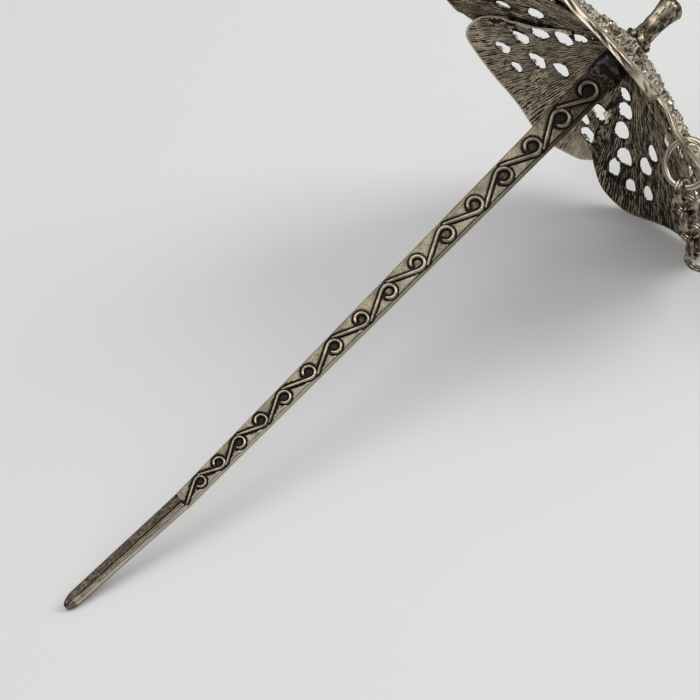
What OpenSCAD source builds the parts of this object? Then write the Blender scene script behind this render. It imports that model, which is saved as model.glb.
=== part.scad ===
// Hair stick in antiqued cast metal: a flat tapering stick with raised running
// scrolls, a pierced flower of five overlapping petals on its upper end, a pistil
// over the flower's middle, and a jump ring with a short chain through one petal.
// The pieces are drawn straight, along +X from the stick's point at x = 0, with
// the carved face towards +Z. Then they are laid down as the hair stick rests by
// itself, on its point and on the margin of one petal, with the floor at z = 0.

/* [Stick] */
// Length from the point to the shoulder under the flower
stick_len = 120.8; // [119:0.1:121]
// Width of the plain end where its rounded nose begins
tip_w = 2.05; // [1.6:0.05:2.6]
// Width at the shoulder under the flower
top_w = 4.6; // [3.8:0.1:5.4]
// Thickness from the back to the carved face
stick_t = 2.0; // [1.6:0.1:2.6]
// Length of the rounded nose
nose_len = 2.6; // [1.5:0.1:4]
// Place of the line that parts the plain end from the scrolls
bead_x = 23.2; // [20:0.1:26]
// Sideways bend of the plain end, in degrees
tip_bend = 3.2; // [0:0.1:5]

/* [Scrolls] */
// Place of the first scroll's middle, next to the plain end
scroll_x = 27.34; // [26:0.1:30]
// Number of scrolls, each turned over from the last
scroll_count = 16; // [4:1:16]
// Pitch of the scrolls at the plain end
pitch_low = 3.95; // [3.5:0.05:4.2]
// Pitch of the scrolls towards the flower
pitch_high = 6.4; // [5:0.1:6.4]
// Width of the raised wire against the width of the stick
wire_share = 0.195; // [0.1:0.005:0.21]
// Height of the raised wire above the face
wire_h = 0.34; // [0.2:0.01:0.5]

/* [Flower] */
// Place along the stick where the petals' slopes would meet in a point
bloom_x = 123.0; // [122.8:0.1:124]
// How far the rounded crown stays below that point
crown = 2.0; // [1:0.1:3]
// Backward slope of the petals' middle lines, in degrees from the flower's plane
petal_slope = 22.8; // [15:0.1:30]
// Side tilt of each petal, which lifts one edge over its neighbour
petal_tilt = 1.6; // [1.2:0.1:3]
// Thickness of a petal's sheet, measured along the stick
petal_t = 0.85; // [0.7:0.05:1.5]
// Thickness of the raised rim round its margin
rim_t = 1.4; // [1:0.05:2]
// Width of that rim
rim_w = 1.2; // [0.8:0.1:2]
// Turn of the first petal's middle line from the carved face, in degrees
bloom_turn = 31.8; // [0:0.1:72]
// Radius of the middle boss that seats the stick
boss_r = 2.9; // [2.6:0.1:4]

/* [Pistil] */
// Length of the pistil above the flower's boss
pistil_len = 9.9; // [8:0.1:12]
// Radius of its narrow neck
pistil_neck_r = 1.55; // [1.5:0.05:1.9]
// Radius of its rounded end
pistil_end_r = 2.1; // [1.9:0.05:2.6]
// Number of leaf bumps in the collar
collar_leaves = 8; // [6:1:10]

/* [Ring and chain] */
// Outer diameter of the jump ring
ring_od = 8.0; // [7:0.1:9]
// Wire thickness of the jump ring
ring_wire = 1.0; // [0.8:0.05:1.1]
// Outer diameter of a chain link, which is a pair of rings side by side
link_od = 4.0; // [3.8:0.1:4.4]
// Wire thickness of each ring of the pair
link_wire = 0.6; // [0.5:0.05:0.65]
// Number of chain links
link_count = 6; // [2:1:7]

/* [Resting pose] */
// Rise of the stick from its point to the flower, in degrees
lie_pitch = 15.4; // [12:0.05:18]
// Roll of the carved face away from straight up, in degrees
lie_roll = 31.65; // [20:0.05:40]

/* [Hidden] */

// Gap left between pieces that touch on the real hair stick
fit = 0.08;

// Stick: each section is an eight-sided outline, the carved face on top. On the plain
// end the face keeps to the far side, and a wide flat bevel runs along the near one
post_r = 1.2;
post_len = 6.2;
face_top = stick_t / 2;
nose_angles = [14, 32, 50, 70, 90];
nose_t = 0.85;
face_scroll = 0.9;
face_far = 0.86;
face_near = 0.4;
edge_scroll = 0.12;
edge_plain = 0.22;
back_share = 0.72;
plain_share = 0.96;
step_half = 0.1;

// Scrolls: size of the curl against the stick's width, and of its corner and tail
// against the curl's radius and the pitch; the curl runs between two angles. The tail
// starts narrow, at tail_point of the wire's width, and has it all at tail_full
curl_share = 0.31;
CORNER = [-0.07, -1.17];
TAIL = [-0.8, 1.12];
first_tail = 3.4;
tail_point = 0.3;
tail_full = 0.2;
curl_from = 24;
curl_to = 233;
curl_step = 19;
wire_sink = 0.1;

// Petals: reach of each petal's margin, how far its two shoulders stand out, and
// how many degrees steeper it slopes than the others
PETALS = [
    // reach, shoulder on the under edge, shoulder on the over edge, steeper
    [29.2, -0.3, 1.6, 0],
    [29.8, 0.6, 0.9, 0],
    [29.8, 0.6, 1.0, -0.4],
    [29.8, 0.8, 1.0, 2.6],
    [29.7, 0.9, 2.9, 0],
];
petal_arch = 0.03;
arch_rate = 2.5;
petal_half = 39.5;
notch_depth = 0.105;
notch_power = 5;
shoulder_at = 20;
over_shoulder_at = 16;
shoulder_w = 9;
petal_rows = 5;
petal_columns = 18;
petal_root_r = 1.0;
rim_foot = 0.3;

// Piercings of a petal: distance from the middle, angle, length and width. The first
// petal has its own
PIERCINGS = [
    [9.6, 28.5, 2.0, 2.2],
    [12.4, 25, 2.6, 2.7],
    [16.3, 25.5, 2.8, 2.6],
    [20.8, 22, 2.8, 2.8],
    [23.8, 26.5, 2.7, 2.0],
    [25.4, 18, 2.0, 2.0],
    [20.6, 9.4, 2.7, 2.3],
    [17.8, 2.9, 2.5, 1.7],
    [25.3, 9.5, 2.2, 1.8],
    [16.6, -30, 2.2, 2.7],
    [21.6, -29.5, 1.7, 2.3],
    [20.2, -20, 2.0, 1.9],
    [15.1, -18.5, 2.2, 2.8],
];
FIRST_PIERCINGS = [
    [8.5, 35, 2.1, 2.4],
    [11.4, 31, 2.4, 3.5],
    [14.9, 35.5, 2.5, 3.4],
    [18.8, 29.1, 2.2, 3.2],
    [23.3, 21.7, 1.9, 2.6],
    [16.3, 2.7, 1.9, 2.7],
    [19.1, 11.9, 2.0, 3.3],
    [23.8, 10.5, 1.4, 2.1],
    [16.7, -29.6, 2.6, 3.0],
    [20.4, -24.3, 1.7, 2.0],
    [22.4, -29.2, 2.2, 2.6],
];
drop_outer_d = 0.9;
drop_inner_d = 0.62;
pierce_sides = 10;
cut_h = 5;

// Boss and pistil, along the stick; the boss and the pistil are bored for the post
boss_bottom = stick_len + fit;
boss_rise = 0.25;
boss_top = bloom_x - crown + petal_t + boss_rise;
bore_r = post_r + fit;
pistil_x = boss_top + fit;
collar_r = 1.95;
collar_len = 1.5;
leaf_r = 0.62;
leaf_at = [collar_r + 0.05, 0, leaf_r + 0.15];
leaf_turn = 0.4;
neck_share = 0.36;
end_flat = 0.75;
post_clear = 0.3;
pistil_bore = post_len - (pistil_x - stick_len) + post_clear;

// The jump ring hangs in a hole near the margin of the fourth petal
ring_petal = 3;
ring_hole_at = -21.3;
ring_hole_in = 1.95;
ring_hole_r = 1.15;
ring_r = (ring_od - ring_wire) / 2;
ring_turn = 205;
ring_lean = 50;
ring_phase = -160;
chain_phase = -8;
link_r = (link_od - link_wire) / 2;
link_gap = 0.18;
pair_share = 0.46;
link_pitch = 2 * link_r - link_wire - link_gap;
torus_sides = 48;

ring_spoke = petal_reach(ring_petal, ring_hole_at) - ring_hole_in;

function link_name(i) = str("link_", i < 10 ? "0" : "", i);

// Width of the stick at x, and the shift of its middle line beyond the bend
function stick_w(x) = tip_w + (top_w - tip_w) * x / stick_len;
function bend_y(x) = max(0, bead_x - x) * tan(tip_bend);

// One section of the stick: size is 1 but in the nose, near and far are where the
// face ends on each side, and edge is how far the near bevel drops
function section(x, size, near, far, edge, t) =
    let (a = stick_w(x) / 2 * size,
         b = a * back_share,
         top = t / 2 * size,
         e = edge * t * size,
         f = edge_scroll * t * size)
    [for (p = [[-a * near, top], [-a, top - e], [-a, -top + e], [-b, -top],
               [b, -top], [a, -top + e], [a, top - f], [a * far, top]])
        [x, bend_y(x) + p[0], p[1]]];

// Faces of a loft through rings of n points each, both ends closed
function loft_faces(rings, n) = concat(
    [[for (j = [0 : n - 1]) j]],
    [for (i = [0 : rings - 2], j = [0 : n - 1])
        [i * n + j, (i + 1) * n + j, (i + 1) * n + (j + 1) % n, i * n + (j + 1) % n]],
    [[for (j = [n - 1 : -1 : 0]) (rings - 1) * n + j]]);

STICK_SECTIONS = concat(
    [for (a = nose_angles)
        section(nose_len * (1 - cos(a)), sin(a), face_near, face_far, edge_plain,
                stick_t * nose_t)],
    [section(bead_x - step_half, 1, face_near, face_far, edge_plain, stick_t * plain_share)],
    [section(bead_x + step_half, 1, face_scroll, face_scroll, edge_scroll, stick_t)],
    [section(stick_len, 1, face_scroll, face_scroll, edge_scroll, stick_t)]);

// Pitch between scroll i and the next one, and the place of scroll i
function scroll_pitch(i) = pitch_low + (pitch_high - pitch_low) * sin(90 * i / 11);
function scroll_at(i) = i == 0 ? scroll_x : scroll_at(i - 1) + scroll_pitch(i - 1);

// Middle line of one scroll's wire: its tail, its corner, then the curl
function scroll_path(r, corner, tail) = concat(
    [tail, tail + (corner - tail) * tail_full, corner],
    [for (a = [curl_from : curl_step : curl_to]) [r * sin(a), -r * cos(a)]]);

function unit(v) = v / norm(v);
function left_of(v) = [-v[1], v[0]];

// Outline of a stroke of width w along a path, with a narrow start, mitred corners
// and a round end
function miter(p, i, w) =
    let (u = i > 0 ? unit(p[i] - p[i - 1]) : unit(p[1] - p[0]),
         v = i < len(p) - 1 ? unit(p[i + 1] - p[i]) : u,
         m = unit(left_of(u) + left_of(v)))
    m * w / 2 / max(0.6, m * left_of(u)) * (i == 0 ? tail_point : 1);
function stroke(p, w) =
    let (n = len(p),
         u = unit(p[n - 1] - p[n - 2]))
    concat([for (i = [0 : n - 1]) p[i] + miter(p, i, w)],
           [for (a = [45, 0, -45]) p[n - 1] + w / 2 * (cos(a) * u + sin(a) * left_of(u))],
           [for (i = [n - 1 : -1 : 0]) p[i] - miter(p, i, w)]);

// Margin of petal k at angle a from its middle line, with a shoulder on each side
function petal_reach(k, a) =
    PETALS[k][0] * (1 - notch_depth * pow(abs(a) / 36, notch_power))
    + PETALS[k][1] * exp(-pow((a - shoulder_at) / shoulder_w, 2))
    + PETALS[k][2] * exp(-pow((a + over_shoulder_at) / shoulder_w, 2));

// How far the underside of petal k lies behind the point where the slopes meet
function droop(k, r, a) =
    let (side = tan(petal_tilt) * sin(a) + petal_arch * (1 - cos(arch_rate * a)))
    norm([crown, r * (tan(petal_slope + PETALS[k][3]) + side)]);

// A point of petal k, in the flower's own frame with +Z along the stick
function petal_point(k, r, a, up) =
    let (turn = bloom_turn + 72 * k + a)
    [r * cos(turn), r * sin(turn), up - droop(k, r, a)];

// The rows of points across petal k: along its sheet, then the foot and edge of the rim
function petal_angle(j) = petal_half * (2 * j / petal_columns - 1);
function petal_row(k, a, i) =
    let (reach = petal_reach(k, a),
         sheet = reach - rim_w - rim_foot)
    i <= petal_rows ? petal_root_r + (sheet - petal_root_r) * i / petal_rows
    : i == petal_rows + 1 ? reach - rim_w
    : reach;
function row_swell(i) = i <= petal_rows ? 0 : (rim_t - petal_t) / 2;

// Petal k as rings of points: each ring runs out along the top and back below
function petal_points(k) =
    [for (j = [0 : petal_columns])
        let (a = petal_angle(j))
        each concat(
            [for (i = [0 : petal_rows + 2])
                petal_point(k, petal_row(k, a, i), a, petal_t + row_swell(i))],
            [for (i = [petal_rows + 2 : -1 : 0])
                petal_point(k, petal_row(k, a, i), a, -row_swell(i))])];

// The frames: the flower's own, the straight one, and the resting one
function to_straight(p) = [bloom_x + p[2], p[1], -p[0]];
function turn_x(p, a) = [p[0], p[1] * cos(a) - p[2] * sin(a), p[1] * sin(a) + p[2] * cos(a)];
function lift_x(p, a) = [p[0] * cos(a) - p[2] * sin(a), p[1], p[0] * sin(a) + p[2] * cos(a)];
function tipped(p) = lift_x(turn_x(p, lie_roll), lie_pitch);

// The jump ring's hole and middle, laid down but not yet brought over the origin
RING_HOLE = tipped(to_straight(petal_point(ring_petal, ring_spoke, ring_hole_at, petal_t / 2)));
RING_DOWN = [cos(ring_lean) * cos(ring_turn), cos(ring_lean) * sin(ring_turn), -sin(ring_lean)];
RING_SIDE = [-sin(ring_turn), cos(ring_turn), 0];
RING_MIDDLE = RING_HOLE - ring_r * (cos(ring_phase) * RING_DOWN + sin(ring_phase) * RING_SIDE);
ring_reach_y = ring_r * norm([RING_DOWN[1], RING_SIDE[1]]) + ring_wire / 2;

// Where the laid hair stick reaches to, and the shift that centres it on the floor
STICK_LAID = [for (s = STICK_SECTIONS, p = s) tipped(p)];
BLOOM_LAID = [for (k = [0 : 4], p = petal_points(k)) tipped(to_straight(p))];
pistil_far = tipped([pistil_x + pistil_len - pistil_end_r, 0, 0])[0] + pistil_end_r;
floor_z = min([for (p = concat(STICK_LAID, BLOOM_LAID)) p[2]]);
near_y = min(RING_MIDDLE[1] - ring_reach_y, min([for (p = BLOOM_LAID) p[1]]));
middle_x = (min([for (p = STICK_LAID) p[0]]) + pistil_far) / 2;
middle_y = (near_y + max([for (p = BLOOM_LAID) p[1]])) / 2;
rest_shift = [-middle_x, -middle_y, -floor_z];

// Where the chain's first link hangs, near the lowest place of the ring's wire
RING_LOW = RING_MIDDLE + rest_shift
    + ring_r * (cos(chain_phase) * RING_DOWN + sin(chain_phase) * RING_SIDE);
first_link_z = (ring_wire + link_wire) / 2 + link_gap - link_r;

// Lays a straight piece down as it rests
module lying() {
    translate(rest_shift) rotate([0, -lie_pitch, 0]) rotate([lie_roll, 0, 0]) children();
}

// Turns a shape drawn upright along +Z to run along the stick from x
module along(x) {
    translate([x, 0, 0]) rotate([0, 90, 0]) children();
}

// A closed ring of round wire
module wire_ring(r, wire) {
    rotate_extrude($fn = torus_sides) translate([r, 0]) circle(d = wire, $fn = 24);
}

// One raised scroll, turned over on every second place
module scroll(i) {
    x = scroll_at(i);
    r = curl_share * stick_w(x);
    pitch = i > 0 ? scroll_pitch(i - 1) : first_tail;
    path = scroll_path(r, CORNER * r, [TAIL[0] * pitch, TAIL[1] * r]);
    translate([x, 0, face_top - wire_sink]) mirror([0, i % 2 == 0 ? 1 : 0, 0])
        linear_extrude(wire_h + wire_sink) polygon(stroke(path, wire_share * stick_w(x)));
}

// The stick: flat cast bar, scrolls on its face, and a round post for the flower
module stick() {
    color("#8b8273") lying() {
        polyhedron([for (s = STICK_SECTIONS) each s], loft_faces(len(STICK_SECTIONS), 8));
        for (i = [0 : scroll_count - 1]) scroll(i);
        along(stick_len - 1) cylinder(h = post_len + 1, r = post_r, $fn = 48);
    }
}

// Turns a cutter drawn along +Z to pass square through petal k at radius r, angle a
module through_petal(k, r, a) {
    rotate([0, 0, bloom_turn + 72 * k + a])
        translate([r, 0, petal_t / 2 - droop(k, r, a)])
            rotate([0, petal_slope + PETALS[k][3], 0]) children();
}

// Piercings of petal k, each a drop-shaped hole with its wide end outwards
module piercings(k) {
    for (p = k == 0 ? FIRST_PIERCINGS : PIERCINGS)
        through_petal(k, p[0], p[1]) scale([p[2], p[3] / drop_outer_d, cut_h]) hull() {
            translate([(1 - drop_outer_d) / 2, 0, 0])
                cylinder(h = 1, d = drop_outer_d, center = true, $fn = pierce_sides);
            translate([-(1 - drop_inner_d) / 2, 0, 0])
                cylinder(h = 1, d = drop_inner_d, center = true, $fn = pierce_sides);
        }
}

// The bloom: one casting of five overlapping petals around a bored boss, with a
// shallow seat cut for the stick's shoulder
module bloom() {
    color("#a39a8a") lying() along(bloom_x) difference() {
        union() {
            for (k = [0 : 4])
                polyhedron(petal_points(k), loft_faces(petal_columns + 1, 2 * petal_rows + 6));
            translate([0, 0, boss_bottom - bloom_x])
                cylinder(h = boss_top - boss_bottom, r = boss_r, $fn = 32);
        }
        for (k = [0 : 4]) piercings(k);
        through_petal(ring_petal, ring_spoke, ring_hole_at)
            cylinder(h = cut_h, r = ring_hole_r, center = true, $fn = 24);
        translate([0, 0, -cut_h]) cylinder(h = 2 * cut_h, r = bore_r, $fn = 48);
        translate([-stick_t / 2 - fit, -top_w / 2 - fit, boss_bottom - bloom_x - cut_h])
            cube([stick_t + 2 * fit, top_w + 2 * fit, cut_h]);
    }
}

// The pistil: leafy collar, narrow neck and rounded trumpet end, bored for the post
module pistil() {
    neck_z = pistil_len * neck_share;
    dome_h = pistil_end_r * end_flat;
    color("#b0a898") lying() along(pistil_x) difference() {
        union() {
            rotate_extrude($fn = 48) polygon(concat(
                [[0, 0], [collar_r, 0], [collar_r, collar_len], [pistil_neck_r, neck_z]],
                [for (a = [0 : 15 : 75])
                    [pistil_end_r * cos(a), pistil_len - dome_h * (1 - sin(a))]],
                [[0, pistil_len]]));
            for (a = [0 : collar_leaves - 1])
                rotate([0, 0, 360 * (a + leaf_turn) / collar_leaves])
                    translate(leaf_at) sphere(r = leaf_r, $fn = 24);
        }
        translate([0, 0, -1]) cylinder(h = pistil_bore + 1, r = bore_r, $fn = 48);
    }
}

// The jump ring, in its hole and round the petal's margin
module jump_ring() {
    color("#9c9384") translate(RING_MIDDLE + rest_shift)
        rotate([0, 0, ring_turn]) rotate([0, ring_lean, 0]) wire_ring(ring_r, ring_wire);
}

// Link i of the chain, a pair of rings that hangs straight down from the ring
module link(i) {
    drop = first_link_z - (i - 1) * link_pitch;
    color("#857c6e") translate(RING_LOW + [0, 0, drop])
        rotate([0, 0, ring_turn + (i % 2 == 1 ? 0 : 90)]) rotate([90, 0, 0])
            for (side = [-1, 1])
                translate([0, 0, side * pair_share * link_wire]) wire_ring(link_r, link_wire);
}

stick();
bloom();
pistil();
jump_ring();
for (i = [1 : link_count]) {
    link(i);
}
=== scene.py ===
import math

import bpy
import numpy as np
from mathutils import Matrix, Vector


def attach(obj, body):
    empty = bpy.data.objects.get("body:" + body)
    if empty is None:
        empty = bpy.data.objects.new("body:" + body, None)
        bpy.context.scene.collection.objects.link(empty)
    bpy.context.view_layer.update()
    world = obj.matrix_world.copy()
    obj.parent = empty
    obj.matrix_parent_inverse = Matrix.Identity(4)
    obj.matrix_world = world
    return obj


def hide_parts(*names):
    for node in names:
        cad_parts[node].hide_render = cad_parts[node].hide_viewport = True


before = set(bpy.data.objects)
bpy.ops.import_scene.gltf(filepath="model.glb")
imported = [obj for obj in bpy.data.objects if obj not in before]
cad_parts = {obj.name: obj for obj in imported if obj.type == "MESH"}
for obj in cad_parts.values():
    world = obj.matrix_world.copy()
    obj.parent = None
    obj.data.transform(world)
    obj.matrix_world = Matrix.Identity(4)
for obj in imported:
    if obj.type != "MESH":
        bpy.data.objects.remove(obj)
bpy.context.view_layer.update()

# Stick: a flat tapering bar cast in white metal, blackened and then rubbed bright
# again on its high places. It is drawn straight along X, in millimetres from its
# point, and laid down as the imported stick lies.
MM = 0.001
LIE_PITCH = math.radians(15.4)
LIE_ROLL = math.radians(31.65)
STICK_LENGTH = 120.8
POST_LENGTH = 6.2
TIP_WIDTH = 2.05
TOP_WIDTH = 4.6
HALF_THICK = 1.0
NOSE_LENGTH = 2.6
BEAD_X = 23.2
TIP_BEND = math.radians(3.2)
SCROLL_COUNT = 16
FIRST_SCROLL_X = 27.2
SCROLL_SIDE = -0.16
PITCH_LOW = 3.95
PITCH_HIGH = 6.4
FIRST_TAIL = 4.3
TAIL_SHARE = 0.88
CURL_SHARE = 0.303
CURL_TURN = (24, 262)
WIRE_SHARE = 0.079
WIRE_HEIGHT = 0.34
GROOVE_DEPTH = 0.16
LINE_DEPTH = 0.07
BEAD_DEPTH = 0.12
NICK_DEPTH = 0.08

turned = np.array(Matrix.Rotation(-LIE_PITCH, 3, "Y") @ Matrix.Rotation(LIE_ROLL, 3, "X"))


def node_points(name):
    """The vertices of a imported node, in metres."""
    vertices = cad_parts[name].data.vertices
    flat = np.zeros(len(vertices) * 3)
    vertices.foreach_get("co", flat)
    return flat.reshape(-1, 3)


unturned = node_points("stick") @ turned
post_end = unturned[unturned[:, 0] > unturned[:, 0].max() - 0.01 * MM].mean(0)
straight_origin = post_end - np.array([(STICK_LENGTH + POST_LENGTH) * MM, 0, 0])


def lay_down(points):
    """Straight points in millimetres, brought to their resting place in metres."""
    return (np.asarray(points) * MM + straight_origin) @ turned.T


def signed_volume(points, quads):
    """Six times the volume inside quads, negative where they face inwards."""
    a, b, c, d = (points[quads[:, i]] for i in range(4))
    return (np.cross(a, b) * c).sum() + (np.cross(a, c) * d).sum()


def enter_piece(name, mesh, node=None):
    """The mesh as a piece on the part's one body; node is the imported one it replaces."""
    piece = bpy.data.objects.new(name, mesh)
    bpy.context.scene.collection.objects.link(piece)
    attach(piece, "root")
    if node:
        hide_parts(node)


def add_piece(name, points, quads, material, node=None, masks=None, uv=None):
    """A closed piece from laid points and quads, with a mask or more for its finish."""
    points[:, 2] = np.maximum(points[:, 2], 0)
    quads = np.asarray(quads)
    centred = points - points.mean(0)
    if signed_volume(centred, quads) < 0:
        quads = quads[:, ::-1]
    mesh = bpy.data.meshes.new(name)
    faces = [[int(v) for i, v in enumerate(q) if v not in q[:i]] for q in quads.tolist()]
    mesh.from_pydata(points.tolist(), [], faces)
    for key, values in (masks or {}).items():
        layer = mesh.attributes.new(key, "FLOAT", "POINT")
        layer.data.foreach_set("value", np.asarray(values, dtype=np.float32))
    if uv is not None:
        corners = np.zeros(len(mesh.loops), dtype=np.int32)
        mesh.loops.foreach_get("vertex_index", corners)
        layer = mesh.uv_layers.new(name="veins")
        layer.data.foreach_set("uv", uv[corners].astype(np.float32).ravel())
    mesh.shade_smooth()
    mesh.materials.append(material)
    enter_piece(name, mesh, node)


def grid_quads(rows, columns, wrap):
    """Quads between rows of points; wrap joins each row's last point to its first."""
    last = columns if wrap else columns - 1
    i, j = np.meshgrid(np.arange(rows - 1), np.arange(last), indexing="ij")
    i, j = i.ravel(), j.ravel()
    k = (j + 1) % columns
    return np.stack([i * columns + j, (i + 1) * columns + j,
                     (i + 1) * columns + k, i * columns + k], 1)


def cap_quads(first, count):
    """A closed end of a ring of points, as strips across it."""
    return [[first + j, first + j + 1, first + count - 2 - j, first + count - 1 - j]
            for j in range(count // 2 - 1)]


def lattice_noise(x, y, size, seed):
    """Smooth random heights from -1 to 1, in bumps about size wide."""
    table = np.random.default_rng(seed).uniform(-1, 1, (128, 128))
    u, v = np.asarray(x) / size, np.asarray(y) / size
    i, j = np.floor(u).astype(int), np.floor(v).astype(int)
    s, t = u - i, v - j
    s, t = s * s * (3 - 2 * s), t * t * (3 - 2 * t)

    def at(di, dj):
        return table[(i + di) % 128, (j + dj) % 128]

    low = at(0, 0) * (1 - s) + at(1, 0) * s
    high = at(0, 1) * (1 - s) + at(1, 1) * s
    return low * (1 - t) + high * t


def soft_step(low, high, value):
    """0 below low, 1 above high, and a smooth rise between."""
    t = np.clip((value - low) / (high - low), 0, 1)
    return t * t * (3 - 2 * t)


def bell(value, width):
    """1 where value is 0, falling off to both sides over about width."""
    return np.exp(-(np.asarray(value) / width) ** 2)


def stick_width(x):
    """The bar's width at x, straight from its point to the flower."""
    return TIP_WIDTH + (TOP_WIDTH - TIP_WIDTH) * np.asarray(x) / STICK_LENGTH


def wire_size(x):
    """Radius of a scroll's wire at x, finer near the plain end."""
    return WIRE_SHARE * stick_width(x) * (0.84 + 0.16 * soft_step(35, 75, x))


def scroll_pitch(i):
    """Distance from scroll i to the next, wider towards the flower."""
    return PITCH_LOW + (PITCH_HIGH - PITCH_LOW) * math.sin(math.radians(90 * i / 11))


def scroll_places():
    """Each scroll's middle along the stick."""
    places = [FIRST_SCROLL_X]
    for i in range(SCROLL_COUNT - 1):
        places.append(places[-1] + scroll_pitch(i))
    return places


def scroll_path(i, x):
    """Middle line of scroll i on the face: tail, corner, and curl to a free end."""
    r = CURL_SHARE * stick_width(x)
    pitch = scroll_pitch(i - 1) if i else FIRST_TAIL
    flip = -1 if i % 2 == 0 else 1
    tail = np.array([-TAIL_SHARE * pitch, 1.2 * r])
    corner = np.array([-0.07 * r, -1.17 * r])
    straight = [tail + (corner - tail) * t for t in np.linspace(0, 1, 14)]
    curl = [r * np.array([math.sin(a), -math.cos(a)])
            for a in np.radians(np.linspace(*CURL_TURN, 30))]
    path = np.array(straight + curl)
    for _ in range(2):
        path[1:-1] = (path[:-2] + 2 * path[1:-1] + path[2:]) / 4
    return path * [1, flip] + [x, SCROLL_SIDE * CURL_SHARE * stick_width(x)]


scroll_paths = [scroll_path(i, x) for i, x in enumerate(scroll_places())]


def wire_distance(x, y):
    """Distance on the face from each point to the nearest scroll wire's middle."""
    best = np.full(x.shape, 9.0)
    for path in scroll_paths:
        near = (x > path[:, 0].min() - 1) & (x < path[:, 0].max() + 1)
        px, py = x[near], y[near]
        d = best[near]
        for p, q in zip(path[:-1], path[1:]):
            along = q - p
            t = ((px - p[0]) * along[0] + (py - p[1]) * along[1]) / (along @ along)
            t = np.clip(t, 0, 1)
            d = np.minimum(d, np.hypot(px - p[0] - t * along[0], py - p[1] - t * along[1]))
        best[near] = d
    return best


class Field:
    """A material socket with arithmetic; node() adds any other shader node, with its
    settings and its inputs' values or links."""

    def __init__(self, socket):
        self.socket = socket

    def node(self, kind, settings, values, output=0):
        tree = self.socket.id_data
        made = tree.nodes.new(kind)
        for key, value in settings.items():
            setattr(made, key, value)
        for key, value in values.items():
            if isinstance(value, Field):
                tree.links.new(value.socket, made.inputs[key])
            else:
                made.inputs[key].default_value = value
        return Field(made.outputs[output])

    def maths(self, operation, first, second):
        return self.node("ShaderNodeMath", {"operation": operation}, {0: first, 1: second})

    def __add__(self, other):
        return self.maths("ADD", self, other)

    def __radd__(self, other):
        return self.maths("ADD", other, self)

    def __sub__(self, other):
        return self.maths("SUBTRACT", self, other)

    def __rsub__(self, other):
        return self.maths("SUBTRACT", other, self)

    def __mul__(self, other):
        return self.maths("MULTIPLY", self, other)

    def __rmul__(self, other):
        return self.maths("MULTIPLY", other, self)

    def clamped(self):
        """The same value, kept between 0 and 1."""
        return self.node("ShaderNodeMath", {"operation": "ADD", "use_clamp": True},
                         {0: self, 1: 0.0})

    def step(self, low, high):
        """0 below low, 1 above high, and a smooth rise between."""
        return self.node("ShaderNodeMapRange", {"interpolation_type": "SMOOTHSTEP"},
                         {0: self, 1: low, 2: high})

    def blend(self, first, second):
        """first where this is 0, second where it is 1; both are colours."""
        return self.node("ShaderNodeMix", {"data_type": "RGBA"},
                         {0: self, 6: first, 7: second}, 2)

    def grain(self, size_mm, detail=2.0, roughness=0.5):
        """Random cloud of about that size; this is the coordinate."""
        return self.node("ShaderNodeTexNoise", {}, {
            "Vector": self, "Scale": 1 / (size_mm * MM), "Detail": detail,
            "Roughness": roughness})


def new_finish(name):
    """An empty material: the object's coordinate, its tree and its surface shader."""
    material = bpy.data.materials.new(name)
    material.use_nodes = True
    tree = material.node_tree
    surface = tree.nodes["Principled BSDF"]
    place = Field(tree.nodes.new("ShaderNodeTexCoord").outputs["Object"])
    return material, surface, place


def attribute(place, name):
    """One of the masks that a piece's mesh carries."""
    return place.node("ShaderNodeAttribute", {"attribute_name": name}, {}, "Fac")


def paint(surface, **fields):
    """Links fields to the surface shader's sockets, and sets plain values there."""
    for key, value in fields.items():
        socket = surface.inputs[key.replace("_", " ")]
        if isinstance(value, Field):
            surface.id_data.links.new(value.socket, socket)
        else:
            socket.default_value = value


PATINA = (0.010, 0.009, 0.008, 1)
BROWN = (0.075, 0.054, 0.036, 1)
# painted sheen colour, laid where light falls on the bar's near side and by its nose
PAINTED_SHEEN_TINT = (0.78, 0.69, 0.57, 1)
EDGE_TINT = (0.62, 0.57, 0.50, 1)
WORN_GREY = (0.125, 0.107, 0.074, 1)
WORN_BRIGHT = (0.34, 0.286, 0.21, 1)
WIRE_DULL = (0.20, 0.165, 0.125, 1)
WIRE_BRIGHT = (0.62, 0.52, 0.40, 1)


def tarnished(dark, metal):
    """Metal that goes brown and then black as dark rises."""
    brown = dark.step(0.05, 0.5).blend(metal, BROWN)
    return dark.step(0.35, 0.8).blend(brown, PATINA)


def antiqued(name, dull, bright, dark_level, speck, darker_on=0.0):
    """Cast white metal: black in the mask named pit, lit by a painted sheen in the other mask, with
    small black dots as strong as speck, and darker_on darker towards the flower."""
    material, surface, place = new_finish(name)
    pit = attribute(place, "pit")
    cloud = place.grain(2.2)
    fine = place.grain(0.35, 3.0, 0.6)
    dots = place.grain(0.16, 1.0)
    worn = (cloud * 0.6 + fine * 0.7 - 0.25).step(0.2, 0.65)
    near_flower = place.node("ShaderNodeSeparateXYZ", {}, {0: place}).step(-0.045, 0.03)
    dark = (pit * 1.15 + (fine - 0.5) * 1.1 + (dots - 0.62) * speck + dark_level
            + near_flower * darker_on).clamped()
    # the second mask lays a painted sheen over the metal, lighter as if lit
    metal = attribute(place, "painted_sheen").blend(worn.blend(dull, bright), PAINTED_SHEEN_TINT)
    colour = tarnished(dark, metal)
    bump = place.node("ShaderNodeBump", {}, {
        "Strength": 0.35, "Distance": 0.05 * MM, "Height": fine + dots * 0.5})
    paint(surface, Base_Color=colour, Metallic=1 - 0.55 * dark.step(0.3, 0.9),
          Roughness=0.30 + 0.28 * dark + 0.12 * (cloud - 0.5), Normal=bump,
          Specular_Tint=EDGE_TINT)
    return material


stick_metal = antiqued("antiqued_stick_metal", WORN_GREY, WORN_BRIGHT, dark_level=0.05, speck=1.9)
wire_metal = antiqued("rubbed_scroll_metal", WIRE_DULL, WIRE_BRIGHT, dark_level=-0.12,
                      speck=0.5, darker_on=0.34)

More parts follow.
